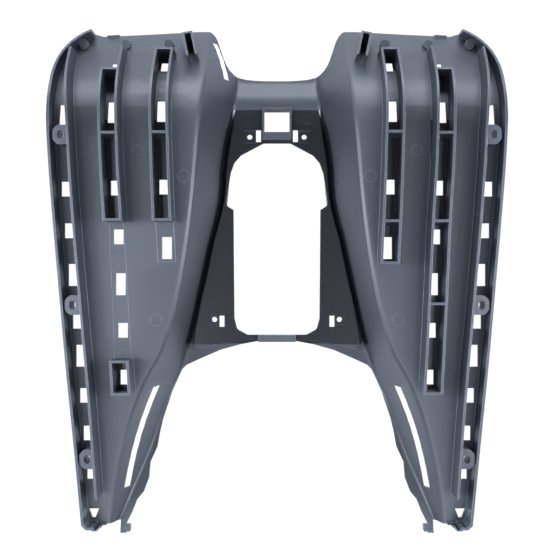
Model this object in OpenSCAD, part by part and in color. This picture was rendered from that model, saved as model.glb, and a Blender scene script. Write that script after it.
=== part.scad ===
// Scooter floorboard: one injection moulding, two footboards joined over a central tunnel.
// It lies on its tread side, so the ribbed underside faces up.
// X runs across, +Y points to the front of the scooter, +Z points out of the underside.
// While it is drawn, z = 0 is the ribbed face of the flat footboards.

/* [Overall] */
// Width over the two outer skirts
width = 444; // [430:1:470]
// Distance of the front edge before the middle of the lid opening
front_y = 263; // [258:1:272]
// Distance of the rear hooks behind the middle of the lid opening
rear_y = 255; // [252:1:262]
// Wall of the moulding
wall = 2.5; // [2.2:0.1:3]
// Depth of the tunnel from the ribbed face of the footboards
tunnel_d = 88; // [84:1:94]

/* [Front ramp] */
// Distance of the bend before the middle of the lid opening
ramp_y = 140; // [132:1:146]
// Radius of the bend from the flat to the ramp
ramp_r = 105; // [95:5:125]
// Final slope of the ramp, in degrees
ramp_a = 40; // [34:1:42]

/* [Tunnel] */
// Bend radius between a footboard and the tunnel wall
ridge_r = 8; // [5:0.5:9]
// Bend radius between the tunnel wall and the tunnel rim
foot_r = 5; // [4:0.5:7]
// Depth of the recess that the lid lies in
seat_step = 12; // [9:0.5:14]
// Width of the lid opening at its straight sides
opening_w = 94; // [86:1:98]
// Corner radius of the lid opening
opening_r = 5; // [3:1:7]
// Width of the latch hole
latch_w = 27; // [22:0.5:30]
// Length of the latch hole
latch_l = 24; // [20:0.5:26]

/* [Skirts and ribs] */
// Height of the outer skirts over the footboard
skirt_h = 20; // [16:0.5:24]
// Height of the ribs over the footboard
rib_h = 26; // [20:0.5:28]
// Thickness of the ribs
rib_t = 2.2; // [1.8:0.1:2.8]
// Clear width of a trim channel between its two ribs
channel_w = 13.8; // [12:0.2:15]
// Depth of the tread side's recesses for the trim strips
strip_d = 1; // [0.6:0.1:1.2]

/* [Hook slots] */
// Width of a trim hook slot
slot_w = 9.6; // [8:0.2:10.4]
// Length of the short hook slots
slot_short = 14.5; // [12:0.5:16]
// Length of the long hook slots
slot_long = 21.5; // [19:0.5:23]
// Places of the long slots next to the skirt
edge_long = [159, 1.5, -78]; // [-200:0.5:200]
// Places of the short slots next to the skirt
edge_short = [86, 45, -44, -117, -154, -192]; // [-200:0.5:200]
// Places of the long slots in the outer trim channel
outer_long = [162, -7.6]; // [-200:0.5:200]
// Places of the short slots in the outer trim channel
outer_short = [87, 39, -53, -99]; // [-200:0.5:200]
// Places of the long slots in the inner trim channel
inner_long = [163, 28]; // [-200:0.5:200]
// Places of the short slots in the inner trim channel
inner_short = [88]; // [-200:0.5:200]

/* [Fixings] */
// Width of the slot in a skirt eyelet
eyelet_w = 6; // [5:0.1:6.5]
// Length of the slot in a skirt eyelet
eyelet_l = 8.6; // [8:0.1:11]
// Width of an eyelet boss
boss_w = 14.4; // [12:0.2:15]
// Length of an eyelet boss
boss_l = 18.7; // [17:0.1:21]
// Height of an eyelet boss over the footboard
boss_h = 18; // [14:0.5:19]
// Places of the eyelets along the skirt
eyelet_y = [136.5, -27.5, -175.5]; // [-200:0.5:200]
// Diameter of the lid screw holes
screw_d = 5.6; // [4.5:0.1:6]
// Spacing of the two front lid screws
front_pitch = 58.8; // [57:0.2:62]
// Spacing of the two rear lid screws
rear_pitch = 135; // [130:0.5:138]

/* [Hidden] */
$fn = 32;
plastic = [0.25, 0.27, 0.30];
half_w = width / 2;
mid_y = (front_y - rear_y) / 2;
lift = tunnel_d + wall;
seat_z = seat_step - tunnel_d;
ramp_arc = ramp_r * sin(ramp_a);
arc_drop = ramp_r * (1 - cos(ramp_a));
reach = 300;
arc_steps = 3;
stations = 38;
front_screw_y = 150.8;
rear_screw_y = -46.5;
latch_y = 167;
tip_y = 12 - rear_y;

// Cubic curve through [y, value] points, in rising order of y
function span(p, y, i = 0) = i >= len(p) - 2 || y < p[i + 1][0] ? i : span(p, y, i + 1);
function chord(p, a, b) = (p[b][1] - p[a][1]) / (p[b][0] - p[a][0]);
function grade(p, i) = chord(p, max(i - 1, 0), min(i + 1, len(p) - 1));
function rail(p, y) =
    let (i = span(p, y), h = p[i + 1][0] - p[i][0], t = (y - p[i][0]) / h)
    p[i][1] * (1 + 2 * t) * (1 - t) * (1 - t) + p[i + 1][1] * t * t * (3 - 2 * t)
    + h * t * (1 - t) * (grade(p, i) * (1 - t) - grade(p, i + 1) * t);
function steps(a, b, n) = [for (i = [0:n]) a + (b - a) * i / n];
function mirrored(p) = [for (i = [len(p) - 1:-1:0]) [-p[i][0], p[i][1]]];
function bezier(a, b, c, d, n) = [for (t = steps(0, 1, n))
    a * pow(1 - t, 3) + 3 * b * t * pow(1 - t, 2) + 3 * c * t * t * (1 - t) + d * pow(t, 3)];

// How far the footboard's ribbed face has dropped at y
function drop(y) = y < ramp_y ? 0
    : y < ramp_y + ramp_arc ? ramp_r - sqrt(ramp_r * ramp_r - pow(y - ramp_y, 2))
    : arc_drop + (y - ramp_y - ramp_arc) * tan(ramp_a);

// Plan curves as [y, x] points: skirt, ribs, channels, ridge, and foot of the tunnel wall
side_line = [[-rear_y, half_w - 36], [-161, half_w - 27], [-87, half_w - 19.5], [-3, half_w - 12],
    [66, half_w - 6], [121, half_w - 2], [170, half_w], [front_y, half_w]];
edge_line = [[-rear_y, half_w - 46], [-154, half_w - 36.5], [-44, half_w - 26], [45, half_w - 18],
    [110, half_w - 13.5], [159, half_w - 12.5], [front_y, half_w - 12]];
rib_line = [[-212, half_w - 50], [-117, half_w - 43], [-32, half_w - 35.5], [43, half_w - 29],
    [111, half_w - 24], [148, half_w - 22], [211, half_w - 15], [235, half_w - 13.5]];
outer_line = [[-113, 148.5], [-53, 151.5], [0, 154], [54, 156.5], [101, 159.5], [137, 161],
    [203, 163.7], [235, 164.5]];
inner_line = [[0, 107], [54, 109.5], [88, 111], [137, 112.5], [163, 113.5], [235, 113.7]];
ridge_line = [[-rear_y, 165], [-205, 159], [-149, 146.5], [-103, 129], [-79, 115], [-43, 102.7],
    [6, 92.4], [65, 84.5], [144, 77.7], [217, 72], [front_y + 5, 71]];
foot_line = [[-rear_y, 163], [-227, 151], [-178, 132], [-139, 121], [-101, 106], [-71, 96],
    [-31, 87], [35, 72], [80, 60], [122, 57], [182, 47], [214, 44], [front_y + 5, 56]];
foot_level = [[-rear_y, -9], [-227, -19], [-197, -37], [-159, -60], [-125, 6 - tunnel_d],
    [-90, -tunnel_d], [150, -tunnel_d], [176, seat_z], [198, seat_z - 2], [214, -tunnel_d],
    [front_y + 5, -tunnel_d]];

// Half of the cross-section of floor, tunnel wall and tunnel top, d below the ribbed face
function half_section(y, d) =
    let (
        zf = -drop(y),
        zt = max(rail(foot_level, y), -tunnel_d),
        xr = rail(ridge_line, y),
        xt = rail(foot_line, y),
        lean = atan2(xr - xt, zf - zt),
        r1 = max(wall + 0.5, min(ridge_r, (zf - zt) / 3)),
        r2 = min(foot_r, (zf - zt) / 4),
        k = (1 - sin(lean)) / cos(lean),
        c1 = [xr + r1 * k, zf - r1],
        c2 = [xt - r2 * k, zt + r2]
    )
    concat(
        [[half_w + 10, zf - d]],
        [for (a = steps(90, 180 - lean, arc_steps)) c1 + (r1 - d) * [cos(a), sin(a)]],
        [for (a = steps(180 - lean, 90, arc_steps)) c2 - (r2 + d) * [cos(a), sin(a)]]
    );
function section(y, d) = let (h = half_section(y, d)) concat(h, mirrored(h));

// Outline of the moulding seen from above, half of it from the rear arch round to the neck
arch_edge = [[0, -71], [22, -71], [40.5, -74.5], [62, -80.5], [84, -90], [99, -97], [104, -102],
    [109, -113], [114, -125], [118, -139], [121.5, -152], [123.5, -164], [125, -178],
    [131, -192], [131, -206], [135, -218], [141, -225], [145, -236]];
tail_edge = [[150, tip_y - 3], [150, -rear_y], [156, -rear_y], [156, tip_y], [170, tip_y],
    [174, tip_y - 5], [178, tip_y], [half_w - 39, tip_y], [half_w - 34.5, tip_y + 4]];
neck_edge = [[193, front_y - 4], [185, front_y - 7], [136, front_y - 4], [84, front_y],
    [73, front_y]];
function skirt_edge() = [for (y = steps(20 - rear_y, 190, 24)) [min(rail(side_line, y), half_w), y]];
function corner_edge() = bezier([half_w, front_y - 62], [half_w, front_y - 34],
    [half_w - 9, front_y - 16], [half_w - 28, front_y - 4], 8);
function neck_side() = bezier([70, front_y - 1], [60, front_y - 6], [60, front_y - 38],
    [47, front_y - 43], 8);
function neck_front() = bezier([43, front_y - 45], [33, front_y - 49], [15, front_y - 49],
    [0, front_y - 49], 4);
function half_outline() = concat(arch_edge, tail_edge, skirt_edge(), corner_edge(), neck_edge,
    neck_side(), neck_front());

module outline() {
    h = half_outline();
    polygon(concat(h, mirrored(h)));
}

// Sheet of the moulding, lofted through the cross-sections
module sheet() {
    n = stations;
    ys = steps(-rear_y - 2, front_y + 2, n);
    m = len(section(0, 0));
    points = [for (y = ys, d = [0, wall], p = section(y, d)) [p[0], y, p[1]]];
    function at(j, s, i) = (j * 2 + s) * m + i;
    skins = [for (j = [0:n - 1], i = [0:m - 2], f = [
        [at(j, 0, i), at(j, 0, i + 1), at(j + 1, 0, i)],
        [at(j + 1, 0, i), at(j, 0, i + 1), at(j + 1, 0, i + 1)],
        [at(j, 1, i), at(j + 1, 1, i), at(j, 1, i + 1)],
        [at(j + 1, 1, i), at(j + 1, 1, i + 1), at(j, 1, i + 1)]
    ]) f];
    sides = [for (j = [0:n - 1], f = [
        [at(j, 0, 0), at(j + 1, 0, 0), at(j, 1, 0)],
        [at(j, 1, 0), at(j + 1, 0, 0), at(j + 1, 1, 0)],
        [at(j, 0, m - 1), at(j, 1, m - 1), at(j + 1, 0, m - 1)],
        [at(j, 1, m - 1), at(j + 1, 1, m - 1), at(j + 1, 0, m - 1)]
    ]) f];
    ends = [for (i = [0:m - 2], f = [
        [at(0, 0, i), at(0, 1, i), at(0, 0, i + 1)],
        [at(0, 1, i), at(0, 1, i + 1), at(0, 0, i + 1)],
        [at(n, 0, i), at(n, 0, i + 1), at(n, 1, i)],
        [at(n, 1, i), at(n, 0, i + 1), at(n, 1, i + 1)]
    ]) f];
    polyhedron(points, concat(skins, sides, ends));
}

// Space from low to high over the ribbed face, which follows the ramp
module layer(low, high) {
    ys = concat([-rear_y - 5], steps(ramp_y, ramp_y + ramp_arc, 6), [front_y + 5]);
    top = [for (y = ys) [y, high - drop(y)]];
    base = [for (i = [len(ys) - 1:-1:0]) [ys[i], low - drop(ys[i])]];
    rotate([90, 0, 90])
    linear_extrude(2 * reach, center = true)
    polygon(concat(top, base));
}

// Upright wall of height h over the ribbed face, with the plan of its children
module upright(h) {
    intersection() {
        translate([0, 0, -reach / 2])
        linear_extrude(reach)
        children();
        layer(-wall / 2, h);
    }
}

// Strip of width w along a plan curve, shifted by dx across
module strip(line, dx, w, y0, y1) {
    n = max(2, round((y1 - y0) / 16));
    side_a = [for (y = steps(y0, y1, n)) [rail(line, y) + dx - w / 2, y]];
    side_b = [for (y = steps(y1, y0, n)) [rail(line, y) + dx + w / 2, y]];
    polygon(concat(side_b, side_a));
}

// Trim channel: two long ribs, an end rib and cross ribs
module channel(line, y0, y1, longer, cross) {
    gap = channel_w / 2 + rib_t / 2;
    strip(line, -gap, rib_t, y0, y1 + longer);
    strip(line, gap, rib_t, y0, y1);
    for (y = concat(cross, [y0 + rib_t / 2, y1 - rib_t / 2]))
        translate([rail(line, y), y])
        square([channel_w + rib_t, rib_t], center = true);
}

// Rectangular slots through the floor along a plan curve
module slots(line, places, len_y, w) {
    for (y = places)
        translate([rail(line, y), y, -drop(y)])
        cube([w, len_y, 30], center = true);
}

// What both sides have alike, drawn at positive x
module side_ribs() {
    upright(skirt_h)
        intersection() {
            difference() {
                outline();
                offset(delta = -wall) outline();
            }
            polygon([[half_w - 50, tip_y - 1], [half_w + 5, tip_y - 1], [half_w + 5, front_y + 5],
                [half_w - 28, front_y + 5], [half_w - 28, 0]]);
        }
    upright(rib_h)
        strip(rib_line, 0, rib_t, -212, 232);
    upright(rib_h)
        translate([89, front_y - 26])
        rotate(-14)
        difference() {
            translate([-5.5, -16])
            square([11, 32]);
            translate([-5.5 + rib_t, -17])
            square([11 - 2 * rib_t, 33 - rib_t]);
        }
    for (y = eyelet_y)
        translate([rail(edge_line, y) - 1, y, -wall / 2])
        linear_extrude(boss_h + wall / 2)
        intersection() {
            square([boss_w, boss_l], center = true);
            translate([boss_w / 2 - boss_l / 2, 0])
            circle(d = boss_l * 1.08);
        }
    for (p = [[158, 20], [113, 20], [half_w - 20, 20]])
        translate([p[0], front_y - p[1], -drop(front_y - p[1]) - wall / 2])
        cylinder(h = 8, d = 10);
    translate([174, front_y - 9, -drop(front_y - 9) - 4])
    cube([13, 6, 12], center = true);
    translate([half_w - 53, tip_y - 1.5, -wall / 2])
    cylinder(h = 6, d = 5);
}

module side_slots() {
    slots(edge_line, edge_long, slot_long, slot_w);
    slots(edge_line, edge_short, slot_short, slot_w);
    slots(outer_line, outer_long, slot_long, slot_w);
    slots(outer_line, outer_short, slot_short, slot_w);
    slots(outer_line, [214], 9, slot_w);
    slots(inner_line, inner_long, slot_long, slot_w);
    slots(inner_line, inner_short, slot_short, slot_w);
    slots(inner_line, [214], 11, slot_w);
    for (y = eyelet_y)
        translate([rail(edge_line, y) - 1, y, -wall - 1])
        linear_extrude(boss_h + wall + 2)
        eyelet_slot();
    translate([half_w - 42, tip_y + 11, -wall - 1])
    linear_extrude(wall + 2)
    polygon([[-5, 4], [5, 4], [1.5, -5], [-1.5, -5]]);
    translate([0, 0, -reach / 2])
    linear_extrude(reach / 2 - 6)
    strip(ridge_line, -9, 4.6, -212, -113);
}

module eyelet_slot() {
    square([eyelet_w, eyelet_l - eyelet_w], center = true);
    for (s = [-1, 1])
        translate([0, s * (eyelet_l - eyelet_w) / 2])
        circle(d = eyelet_w);
}

// Plan of the lid seat and of the lid opening, half of each
seat_line = [[-80, 91], [-31, 83], [2, 75], [35, 68.5], [80, 57], [122, 53.5], [183, 44]];
function half_seat() = concat([[0, -68.5], [30, -68.5], [71, -75], [86, -78.5]],
    [for (y = steps(-74, 183, 16)) [rail(seat_line, y), y]], [[0, 183]]);
function half_opening() = [[0, -63], [32, -63], [opening_w / 2 - 4, -57], [opening_w / 2 - 1, -45],
    [opening_w / 2, 72], [opening_w / 2 + 8, 77], [opening_w / 2 + 6, 93], [opening_w / 2 + 3, 112],
    [opening_w / 2 - 1, 123], [opening_w / 2 - 8, 131], [14.5, 144], [0, 144]];

module seat_plan() {
    polygon(concat(half_seat(), mirrored(half_seat())));
}

module opening_plan() {
    offset(r = opening_r)
    offset(delta = -opening_r)
    polygon(concat(half_opening(), mirrored(half_opening())));
}

// Raised plate that the lid lies on from the tread side
module lid_seat() {
    translate([0, 0, -lift])
    linear_extrude(seat_step + wall)
    seat_plan();
    translate([-latch_w / 2 - 2, latch_y - latch_l / 2 - 8, seat_z - 1])
    cube([latch_w + 4, latch_l + 10, 9]);
    translate([-20, -70.5, seat_z - 1])
    cube([40, 8.5, 6]);
}

module lid_cuts() {
    translate([0, 0, -lift - 1])
    linear_extrude(seat_step + 1)
    offset(delta = -wall) seat_plan();
    translate([0, 0, -lift])
    linear_extrude(lift - 20)
    opening_plan();
    translate([0, latch_y, -lift / 2 - 20])
    cube([latch_w, latch_l, lift], center = true);
    for (s = [-1, 1]) {
        translate([s * front_pitch / 2, front_screw_y, seat_z - wall - 1])
        cylinder(h = wall + 10, d = screw_d);
        translate([s * rear_pitch / 2, rear_screw_y, seat_z - wall - 1])
        cylinder(h = wall + 10, d = screw_d);
        translate([s * 20, 152, seat_z])
        cube([5.4, 13, 2 * wall + 2], center = true);
        translate([s * 59.5, -48.5, seat_z])
        cube([5.4, 12, 2 * wall + 2], center = true);
    }
}

module screw_pads() {
    for (s = [-1, 1]) {
        translate([s * front_pitch / 2, front_screw_y, seat_z - 0.5])
        cube([12, 13, 3], center = true);
        translate([s * rear_pitch / 2, rear_screw_y, seat_z - 0.5])
        cube([11, 11, 3], center = true);
    }
}

module floorboard() {
    color(plastic)
    translate([0, -mid_y, lift])
    difference() {
        union() {
            intersection() {
                union() {
                    sheet();
                    for (s = [0, 1])
                        mirror([s, 0, 0])
                        side_ribs();
                    upright(rib_h)
                    mirror([1, 0])
                    channel(outer_line, 53, 205, 28, [137]);
                    upright(rib_h)
                    mirror([1, 0])
                    channel(outer_line, -113, -80, 0, []);
                    upright(rib_h)
                    mirror([1, 0])
                    channel(inner_line, 53, 231, 0, [137.5]);
                    upright(rib_h)
                    channel(outer_line, -112.5, 205, 28, [137, 53, -26]);
                    upright(rib_h)
                    channel(inner_line, 12, 231, 0, [138, 53]);
                }
                translate([0, 0, -lift - 5])
                linear_extrude(lift + 40)
                outline();
            }
            lid_seat();
            screw_pads();
        }
        for (s = [0, 1])
            mirror([s, 0, 0])
            side_slots();
        lid_cuts();
    }
}

floorboard();
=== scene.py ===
"""Looks of the scooter floorboard: material, small marks, pale floor, soft lights and the camera."""

import math

import bmesh
import bpy
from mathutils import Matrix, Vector
from mathutils.bvhtree import BVHTree


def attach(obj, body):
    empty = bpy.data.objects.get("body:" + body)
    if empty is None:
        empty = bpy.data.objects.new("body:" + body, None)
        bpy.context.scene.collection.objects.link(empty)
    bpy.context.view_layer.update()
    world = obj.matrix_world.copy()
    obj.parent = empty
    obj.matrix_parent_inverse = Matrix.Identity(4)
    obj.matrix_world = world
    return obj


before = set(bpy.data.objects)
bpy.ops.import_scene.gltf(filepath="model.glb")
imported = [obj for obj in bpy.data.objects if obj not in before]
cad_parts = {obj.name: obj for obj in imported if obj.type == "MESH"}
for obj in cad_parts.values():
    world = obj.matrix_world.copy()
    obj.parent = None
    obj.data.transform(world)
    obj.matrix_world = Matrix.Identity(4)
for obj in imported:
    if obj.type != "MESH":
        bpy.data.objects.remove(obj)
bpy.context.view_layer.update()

# Camera and surroundings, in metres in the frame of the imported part
FLOOR_FACE_Z = 0.0905
CAMERA_ABOVE_FACE = 0.755
CAMERA_X = -0.0005
CAMERA_Y = -0.004
LENS_MM = 50.0
SENSOR_MM = 36.0
FLOOR_HALF = 6.0
FLOOR_DROP = 0.0005
FLOOR_GREY = (0.5, 0.5, 0.5, 1)
FLOOR_ROUGHNESS = 0.9
FLOOR_GLOW = 1.05
ROOM_LIGHT = 0.10
ROOM_COLOUR = (0.93, 0.96, 1, 1)
LIGHT_COLOUR = (0.86, 0.93, 1.08)

# Soft lights: name, place, the point that it faces, width, length and power
LIGHTS = [
    ("left_box", (-1.0, -0.1, 1.15), (-0.15, -0.05, 0.09), 0.8, 1.6, 24),
    ("right_box", (1.0, -0.1, 1.15), (0.15, -0.05, 0.09), 0.8, 1.6, 17),
    ("front_box", (0, 1.2, 0.55), (0, 0.2, 0.05), 1.2, 0.5, 26),
    ("rear_box", (0, -0.85, 1.1), (0, -0.2, 0.09), 0.9, 0.4, 14),
    ("side_strip_-1", (-1.0, 0, 0.5), (-0.2, 0, 0.09), 0.35, 1.4, 26),
    ("side_strip_1", (1.0, 0, 0.5), (0.2, 0, 0.09), 0.35, 1.4, 26),
]

# Satin plastic: two close greys, a paler grey painted on the edges as a highlight, and a darker black
# painted as shade, with a smoother face, in some deep places
PLASTIC_GREYS = ((0.018, 0.020, 0.024, 1), (0.025, 0.028, 0.032, 1))
EDGE_HIGHLIGHT_GREY = (0.15, 0.17, 0.21, 1)
SHADE_BLACK = (0.008, 0.009, 0.010, 1)
SATIN_ROUGHNESS = (0.42, 0.49)
SMOOTH_ROUGHNESS = 0.24
EDGE_HIGHLIGHT_FROM = 0.985
EDGE_HIGHLIGHT_TO = 0.80
EDGE_ROUND = 0.0007
EDGE_SAMPLES = 6
CLOUD_SCALE = 9.0
CLOUD_DETAIL = 4.0
CLOUD_RANGE = (0.3, 0.7)
GRAIN_SCALE = 1800.0
GRAIN_DETAIL = 3.0
GRAIN_STRENGTH = 0.12
GRAIN_DEPTH = 0.0002
MERGE_WITHIN = 0.00002
SHARP_ANGLE = 24

# Places with a smoother face and a darker black painted as shade, lowest and highest corner in metres: the
# lid seat deep in the tunnel and the channels
SHADED_SMOOTH_BOXES = [
    ((-0.1000, -0.0775, -0.0010), (0.1000, 0.1760, 0.0170)),
    ((-0.1720, 0.0500, 0.0800), (-0.1550, 0.1500, 0.0920)),
    ((-0.1220, 0.0500, 0.0800), (-0.1045, 0.1500, 0.0920)),
    ((0.1060, 0.0080, 0.0800), (0.1225, 0.1500, 0.0920)),
    ((0.1485, -0.1180, 0.0800), (0.1635, 0.0100, 0.0920)),
    ((0.1510, 0.0100, 0.0800), (0.1700, 0.1500, 0.0920)),
    ((-0.1610, -0.1165, 0.0800), (-0.1475, -0.0880, 0.0920)),
]

# Round marks of the moulding tool: x, y and radius in metres, on both sides and on the left side alone
PIN_MARKS = [
    (0.1906, 0.2333, 0.0045), (0.1362, 0.2333, 0.0045), (0.0870, 0.1936, 0.0050), (0.1140, 0.1820, 0.0040),
    (0.0919, 0.0948, 0.0060), (0.1371, 0.1203, 0.0055), (0.1190, -0.0468, 0.0060), (0.0330, 0.1658, 0.0050),
    (0.0754, -0.0678, 0.0060),
]
LEFT_MARKS = [(0.1563, 0.0122, 0.0050), (0.1514, -0.0792, 0.0045)]
MARK_LINE = 0.0004
MARK_RISE = 0.0001
MARK_SINK = 0.0003
MARK_STEPS = 32
LOOK_FROM_Z = 0.3

# Thin lines beside the strips of the left wing, each from one point to another in metres
STRIP_LINES = [
    ((-0.1651, 0.0500), (-0.1593, -0.0861)), ((-0.1509, 0.0500), (-0.1430, -0.0861)),
    ((-0.1194, 0.0500), (-0.1170, 0.0103)), ((-0.1022, 0.0500), (-0.0993, 0.0103)),
    ((-0.1170, 0.0103), (-0.0993, 0.0103)),
]
STRIP_LINE_WIDE = 0.0006
STRIP_LINE_RISE = 0.0002

# Small cross on the left edge and the clip blocks at the tails
CROSS_AT = (-0.1917, -0.1421)
CROSS_ARMS = ((0.0115, 0.0012), (0.0012, 0.0135))
CROSS_SINK = 0.0005
CROSS_RISE = 0.0012
CLIP_X = (0.1465, 0.1528)
CLIP_Y = (-0.2585, -0.2520)
CLIP_Z = (0.0725, 0.0800)
CLIP_ROUND = 0.0008

# Blank label, from its front end to its rear end
LABEL_Y = (0.244, 0.206)
LABEL_LOW_Z = (0.0225, 0.0215)
LABEL_HIGH_Z = (0.0275, 0.0300)
LABEL_THICK = 0.0002
LABEL_ALONG = 12
LABEL_ACROSS = 4
FIBRE_SCALE = 400.0
PAPER_ROUGHNESS = 0.55
PAPER_GREYS = ((0.52, 0.55, 0.58, 1), (0.66, 0.68, 0.70, 1))

# Faces of a box whose eight corners are numbered across first, then along, then upwards
BOX_FACES = ((0, 2, 3, 1), (4, 5, 7, 6), (0, 1, 5, 4), (2, 6, 7, 3), (0, 4, 6, 2), (1, 3, 7, 5))


def mix(start, end, share):
    """The value that lies a share of the way from start to end."""
    return start + (end - start) * share


def new_material(name):
    material = bpy.data.materials.new(name)
    material.use_nodes = True
    tree = material.node_tree
    return material, tree, tree.nodes["Principled BSDF"]


def noise(tree, place, scale, detail=2.0):
    node = tree.nodes.new("ShaderNodeTexNoise")
    node.inputs["Scale"].default_value = scale
    node.inputs["Detail"].default_value = detail
    tree.links.new(place, node.inputs["Vector"])
    return node.outputs["Fac"]


def colour_mix(tree, factor, start, end):
    """Mixes two colours, of which start may be the output of another node."""
    node = tree.nodes.new("ShaderNodeMix")
    node.data_type = "RGBA"
    if isinstance(start, tuple):
        node.inputs["A"].default_value = start
    else:
        tree.links.new(start, node.inputs["A"])
    node.inputs["B"].default_value = end
    tree.links.new(factor, node.inputs["Factor"])
    return node.outputs["Result"]


def map_range(tree, value, source, target=(0.0, 1.0)):
    node = tree.nodes.new("ShaderNodeMapRange")
    node.inputs["From Min"].default_value = source[0]
    node.inputs["From Max"].default_value = source[1]
    node.inputs["To Min"].default_value = target[0]
    node.inputs["To Max"].default_value = target[1]
    tree.links.new(value, node.inputs["Value"])
    return node.outputs["Result"]


def vector_math(tree, operation, first, second=None):
    """A vector operation, of which second may be the output of another node or fixed numbers."""
    node = tree.nodes.new("ShaderNodeVectorMath")
    node.operation = operation
    tree.links.new(first, node.inputs[0])
    if isinstance(second, list):
        node.inputs[1].default_value = second
    elif second is not None:
        tree.links.new(second, node.inputs[1])
    return node


def larger(tree, first, second):
    node = tree.nodes.new("ShaderNodeMath")
    node.operation = "MAXIMUM"
    tree.links.new(first, node.inputs[0])
    tree.links.new(second, node.inputs[1])
    return node.outputs["Value"]


def inside_box(tree, place, low, high):
    """A factor that is one inside the box and zero outside it."""
    middle = [(a + b) / 2 for a, b in zip(low, high)]
    half = [(b - a) / 2 for a, b in zip(low, high)]
    away = vector_math(tree, "SUBTRACT", place, middle)
    size = vector_math(tree, "ABSOLUTE", away.outputs["Vector"])
    share = vector_math(tree, "DIVIDE", size.outputs["Vector"], half)
    split = tree.nodes.new("ShaderNodeSeparateXYZ")
    tree.links.new(share.outputs["Vector"], split.inputs["Vector"])
    most = larger(tree, larger(tree, split.outputs["X"], split.outputs["Y"]), split.outputs["Z"])
    inner = tree.nodes.new("ShaderNodeMath")
    inner.operation = "LESS_THAN"
    inner.inputs[1].default_value = 1.0
    tree.links.new(most, inner.inputs[0])
    return inner.outputs["Value"]


def plastic_material():
    """Satin dark grey moulded plastic with a fine spark grain, rounded edges with a painted highlight on
    them, and painted shade on a smoother face in the lid seat and the channels.
    """
    material, tree, shader = new_material("satin_plastic")
    place = tree.nodes.new("ShaderNodeTexCoord").outputs["Object"]
    cloud = noise(tree, place, CLOUD_SCALE, CLOUD_DETAIL)

    rounding = tree.nodes.new("ShaderNodeBevel")
    rounding.samples = EDGE_SAMPLES
    rounding.inputs["Radius"].default_value = EDGE_ROUND
    face = tree.nodes.new("ShaderNodeNewGeometry")
    turn = vector_math(tree, "DOT_PRODUCT", rounding.outputs["Normal"], face.outputs["Normal"])
    # Painted highlight: a paler grey along the rounded edges, where the side lights would catch them
    edge_highlight = map_range(tree, turn.outputs["Value"], (EDGE_HIGHLIGHT_FROM, EDGE_HIGHLIGHT_TO))

    # Painted shade: a darker black inside the lid seat and the channels, deep places where little light
    # falls; the same boxes also make the face smoother
    shaded_smooth_place = inside_box(tree, place, *SHADED_SMOOTH_BOXES[0])
    for low, high in SHADED_SMOOTH_BOXES[1:]:
        shaded_smooth_place = larger(tree, shaded_smooth_place, inside_box(tree, place, low, high))

    grey = colour_mix(tree, cloud, *PLASTIC_GREYS)
    # Painted highlight: the grey turns paler along the edges
    grey = colour_mix(tree, edge_highlight, grey, EDGE_HIGHLIGHT_GREY)
    # Painted shade: the grey turns to a darker black inside the boxes
    grey = colour_mix(tree, shaded_smooth_place, grey, SHADE_BLACK)
    tree.links.new(grey, shader.inputs["Base Color"])

    satin = map_range(tree, cloud, CLOUD_RANGE, SATIN_ROUGHNESS)
    gloss = tree.nodes.new("ShaderNodeMix")
    gloss.inputs["B"].default_value = SMOOTH_ROUGHNESS
    tree.links.new(shaded_smooth_place, gloss.inputs["Factor"])
    tree.links.new(satin, gloss.inputs["A"])
    tree.links.new(gloss.outputs["Result"], shader.inputs["Roughness"])

    bump = tree.nodes.new("ShaderNodeBump")
    bump.inputs["Strength"].default_value = GRAIN_STRENGTH
    bump.inputs["Distance"].default_value = GRAIN_DEPTH
    tree.links.new(noise(tree, place, GRAIN_SCALE, GRAIN_DETAIL), bump.inputs["Height"])
    tree.links.new(rounding.outputs["Normal"], bump.inputs["Normal"])
    tree.links.new(bump.outputs["Normal"], shader.inputs["Normal"])
    return material


def label_material():
    """Blank pale paper with faint fibres."""
    material, tree, shader = new_material("blank_paper")
    place = tree.nodes.new("ShaderNodeTexCoord").outputs["Object"]
    shade = colour_mix(tree, noise(tree, place, FIBRE_SCALE), *PAPER_GREYS)
    tree.links.new(shade, shader.inputs["Base Color"])
    shader.inputs["Roughness"].default_value = PAPER_ROUGHNESS
    return material


def smooth_shading():
    """Joins the faces of the moulding and keeps a sharp edge only where two faces meet at an angle."""
    tree = bpy.data.node_groups.new("smooth_shading", "GeometryNodeTree")
    tree.interface.new_socket("Geometry", in_out="INPUT", socket_type="NodeSocketGeometry")
    tree.interface.new_socket("Geometry", in_out="OUTPUT", socket_type="NodeSocketGeometry")
    start = tree.nodes.new("NodeGroupInput")
    plain = tree.nodes.new("GeometryNodeRemoveAttribute")
    plain.inputs["Name"].default_value = "custom_normal"
    merge = tree.nodes.new("GeometryNodeMergeByDistance")
    merge.inputs["Distance"].default_value = MERGE_WITHIN
    smooth = tree.nodes.new("GeometryNodeSetShadeSmooth")
    smooth.domain = "FACE"
    smooth.inputs["Shade Smooth"].default_value = True
    angle = tree.nodes.new("GeometryNodeInputMeshEdgeAngle")
    limit = tree.nodes.new("FunctionNodeCompare")
    limit.operation = "GREATER_THAN"
    limit.inputs["B"].default_value = math.radians(SHARP_ANGLE)
    tree.links.new(angle.outputs["Unsigned Angle"], limit.inputs["A"])
    sharp = tree.nodes.new("GeometryNodeSetShadeSmooth")
    sharp.domain = "EDGE"
    sharp.inputs["Shade Smooth"].default_value = False
    tree.links.new(limit.outputs["Result"], sharp.inputs["Selection"])
    end = tree.nodes.new("NodeGroupOutput")
    chain = (start, plain, merge, smooth, sharp, end)
    for before, after in zip(chain, chain[1:]):
        tree.links.new(before.outputs["Geometry"], after.inputs["Geometry"])
    return tree


def dress_floorboard(plastic):
    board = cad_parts["floorboard"]
    board.data.materials.clear()
    board.data.materials.append(plastic)
    board.modifiers.new("smooth_shading", "NODES").node_group = smooth_shading()
    return board


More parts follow.
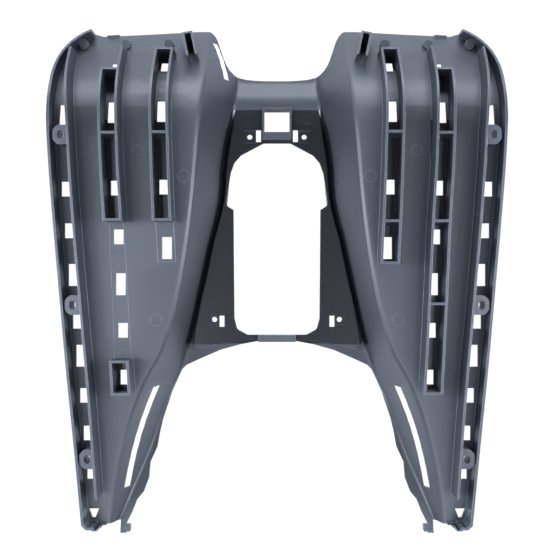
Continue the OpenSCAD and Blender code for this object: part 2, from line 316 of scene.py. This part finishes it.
def add_piece(name, verts, faces, material):
    """Makes one small piece that stays with the moulding."""
    mesh = bpy.data.meshes.new(name)
    mesh.from_pydata(verts, [], faces)
    mesh.materials.append(material)
    piece = bpy.data.objects.new(name, mesh)
    bpy.context.scene.collection.objects.link(piece)
    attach(piece, "root")
    return piece


def add_solid(verts, faces, corners):
    """Adds eight corners and their six faces to the lists."""
    start = len(verts)
    verts.extend(corners)
    for quad in BOX_FACES:
        faces.append(tuple(start + i for i in quad))


def box_corners(low, high):
    return [(x, y, z) for z in (low[2], high[2]) for y in (low[1], high[1]) for x in (low[0], high[0])]


def pin_marks(skin, material):
    """Thin raised rings that follow the face they stand on."""
    verts = []
    faces = []
    section = ((0, -MARK_SINK), (MARK_LINE, -MARK_SINK), (MARK_LINE, MARK_RISE), (0, MARK_RISE))
    rings = [(side * x, y, r) for x, y, r in PIN_MARKS for side in (-1, 1)]
    rings += [(-x, y, r) for x, y, r in LEFT_MARKS]
    for x, y, radius in rings:
        start = len(verts)
        for k in range(MARK_STEPS):
            angle = 2 * math.pi * k / MARK_STEPS
            for inset, rise in section:
                px = x + (radius - inset) * math.cos(angle)
                py = y + (radius - inset) * math.sin(angle)
                hit = skin.ray_cast(Vector((px, py, LOOK_FROM_Z)), Vector((0, 0, -1)))[0]
                verts.append((px, py, hit.z + rise))
        for k in range(MARK_STEPS):
            here = start + 4 * k
            there = start + 4 * ((k + 1) % MARK_STEPS)
            for a in range(4):
                b = (a + 1) % 4
                faces.append((here + a, here + b, there + b, there + a))
    add_piece("pin_marks", verts, faces, material)


def edge_cross(material):
    """Two low crossed bars beside the left skirt."""
    verts = []
    faces = []
    for width, length in CROSS_ARMS:
        low = (CROSS_AT[0] - width / 2, CROSS_AT[1] - length / 2, FLOOR_FACE_Z - CROSS_SINK)
        high = (CROSS_AT[0] + width / 2, CROSS_AT[1] + length / 2, FLOOR_FACE_Z + CROSS_RISE)
        add_solid(verts, faces, box_corners(low, high))
    add_piece("edge_cross", verts, faces, material)


def strip_lines(material):
    """Fine raised lines on the flat face of the left wing."""
    verts = []
    faces = []
    for start, end in STRIP_LINES:
        first = Vector(start)
        second = Vector(end)
        across = (second - first).orthogonal().normalized() * STRIP_LINE_WIDE / 2
        spots = (first + across, first - across, second + across, second - across)
        levels = (FLOOR_FACE_Z - MARK_SINK, FLOOR_FACE_Z + STRIP_LINE_RISE)
        add_solid(verts, faces, [(spot.x, spot.y, z) for z in levels for spot in spots])
    add_piece("strip_lines", verts, faces, material)


def tail_clips(material):
    """A rounded block on each tail hook."""
    for side, name in ((-1, "tail_clip_left"), (1, "tail_clip_right")):
        verts = []
        faces = []
        xs = sorted(side * x for x in CLIP_X)
        low = (xs[0], CLIP_Y[0], CLIP_Z[0])
        high = (xs[1], CLIP_Y[1], CLIP_Z[1])
        add_solid(verts, faces, box_corners(low, high))
        edge = add_piece(name, verts, faces, material).modifiers.new("round", "BEVEL")
        edge.width = CLIP_ROUND
        edge.segments = 2


def blank_label(skin):
    """A blank paper label on the tunnel wall beside the left front corner."""
    verts = []
    for layer in (-1, 1):
        for i in range(LABEL_ALONG + 1):
            share = i / LABEL_ALONG
            y = mix(*LABEL_Y, share)
            low = mix(*LABEL_LOW_Z, share)
            high = mix(*LABEL_HIGH_Z, share)
            for j in range(LABEL_ACROSS + 1):
                z = mix(low, high, j / LABEL_ACROSS)
                hit, normal = skin.ray_cast(Vector((0, y, z)), Vector((-1, 0, 0)))[:2]
                if normal.x < 0:
                    normal = -normal
                verts.append(hit + normal * LABEL_THICK * layer)
    row = LABEL_ACROSS + 1
    top = (LABEL_ALONG + 1) * row
    faces = []
    for i in range(LABEL_ALONG):
        for j in range(LABEL_ACROSS):
            a = i * row + j
            faces.append((a, a + 1, a + row + 1, a + row))
            faces.append((top + a, top + a + row, top + a + row + 1, top + a + 1))
        for a in (i * row, i * row + LABEL_ACROSS):
            faces.append((a, a + row, top + a + row, top + a))
    for i in (0, LABEL_ALONG):
        for j in range(LABEL_ACROSS):
            a = i * row + j
            faces.append((a, a + 1, top + a + 1, top + a))
    label = add_piece("blank_label", verts, faces, label_material())
    bm = bmesh.new()
    bm.from_mesh(label.data)
    bmesh.ops.recalc_face_normals(bm, faces=bm.faces)
    bm.to_mesh(label.data)
    bm.free()


def white_to_camera(tree, plain, white, output):
    """Shows a plain white to the camera and the plain shader to everything else."""
    path = tree.nodes.new("ShaderNodeLightPath")
    blend = tree.nodes.new("ShaderNodeMixShader")
    tree.links.new(path.outputs["Is Camera Ray"], blend.inputs["Fac"])
    tree.links.new(plain, blend.inputs[1])
    tree.links.new(white, blend.inputs[2])
    tree.links.new(blend.outputs["Shader"], tree.nodes[output].inputs["Surface"])


def pale_floor():
    """A white surface that lies under the part."""
    mesh = bpy.data.meshes.new("pale_floor")
    h = FLOOR_HALF
    corners = ((-h, -h), (h, -h), (h, h), (-h, h))
    mesh.from_pydata([(x, y, -FLOOR_DROP) for x, y in corners], [], [(0, 1, 2, 3)])
    floor = bpy.data.objects.new("pale_floor", mesh)
    bpy.context.scene.collection.objects.link(floor)
    material, tree, shader = new_material("pale_floor")
    shader.inputs["Base Color"].default_value = FLOOR_GREY
    shader.inputs["Roughness"].default_value = FLOOR_ROUGHNESS
    glow = tree.nodes.new("ShaderNodeEmission")
    glow.inputs["Strength"].default_value = FLOOR_GLOW
    white_to_camera(tree, shader.outputs["BSDF"], glow.outputs["Emission"], "Material Output")
    mesh.materials.append(material)


def area_light(name, place, aim, width, length, power):
    data = bpy.data.lights.new(name, "AREA")
    data.shape = "RECTANGLE"
    data.size = width
    data.size_y = length
    data.energy = power
    data.color = LIGHT_COLOUR
    light = bpy.data.objects.new(name, data)
    light.location = place
    light.rotation_euler = (Vector(aim) - Vector(place)).to_track_quat("-Z", "Y").to_euler()
    light.visible_camera = False
    bpy.context.scene.collection.objects.link(light)


def studio():
    """A dim room that looks white to the camera, and the soft lights."""
    bpy.context.scene.view_settings.view_transform = "Standard"
    world = bpy.data.worlds.new("studio")
    world.use_nodes = True
    tree = world.node_tree
    room = tree.nodes["Background"]
    room.inputs["Color"].default_value = ROOM_COLOUR
    room.inputs["Strength"].default_value = ROOM_LIGHT
    backdrop = tree.nodes.new("ShaderNodeBackground")
    backdrop.inputs["Color"].default_value = (1, 1, 1, 1)
    backdrop.inputs["Strength"].default_value = FLOOR_GLOW
    white_to_camera(tree, room.outputs["Background"], backdrop.outputs["Background"], "World Output")
    bpy.context.scene.world = world
    for light in LIGHTS:
        area_light(*light)


def photo_camera():
    data = bpy.data.cameras.new("photo_camera")
    data.lens = LENS_MM
    data.sensor_width = SENSOR_MM
    camera = bpy.data.objects.new("photo_camera", data)
    camera.location = (CAMERA_X, CAMERA_Y, FLOOR_FACE_Z + CAMERA_ABOVE_FACE)
    bpy.context.scene.collection.objects.link(camera)
    bpy.context.scene.camera = camera


photo_camera()
plastic = plastic_material()
board = dress_floorboard(plastic)
skin = BVHTree.FromPolygons([v.co for v in board.data.vertices], [p.vertices for p in board.data.polygons])
pin_marks(skin, plastic)
edge_cross(plastic)
strip_lines(plastic)
tail_clips(plastic)
blank_label(skin)
pale_floor()
studio()
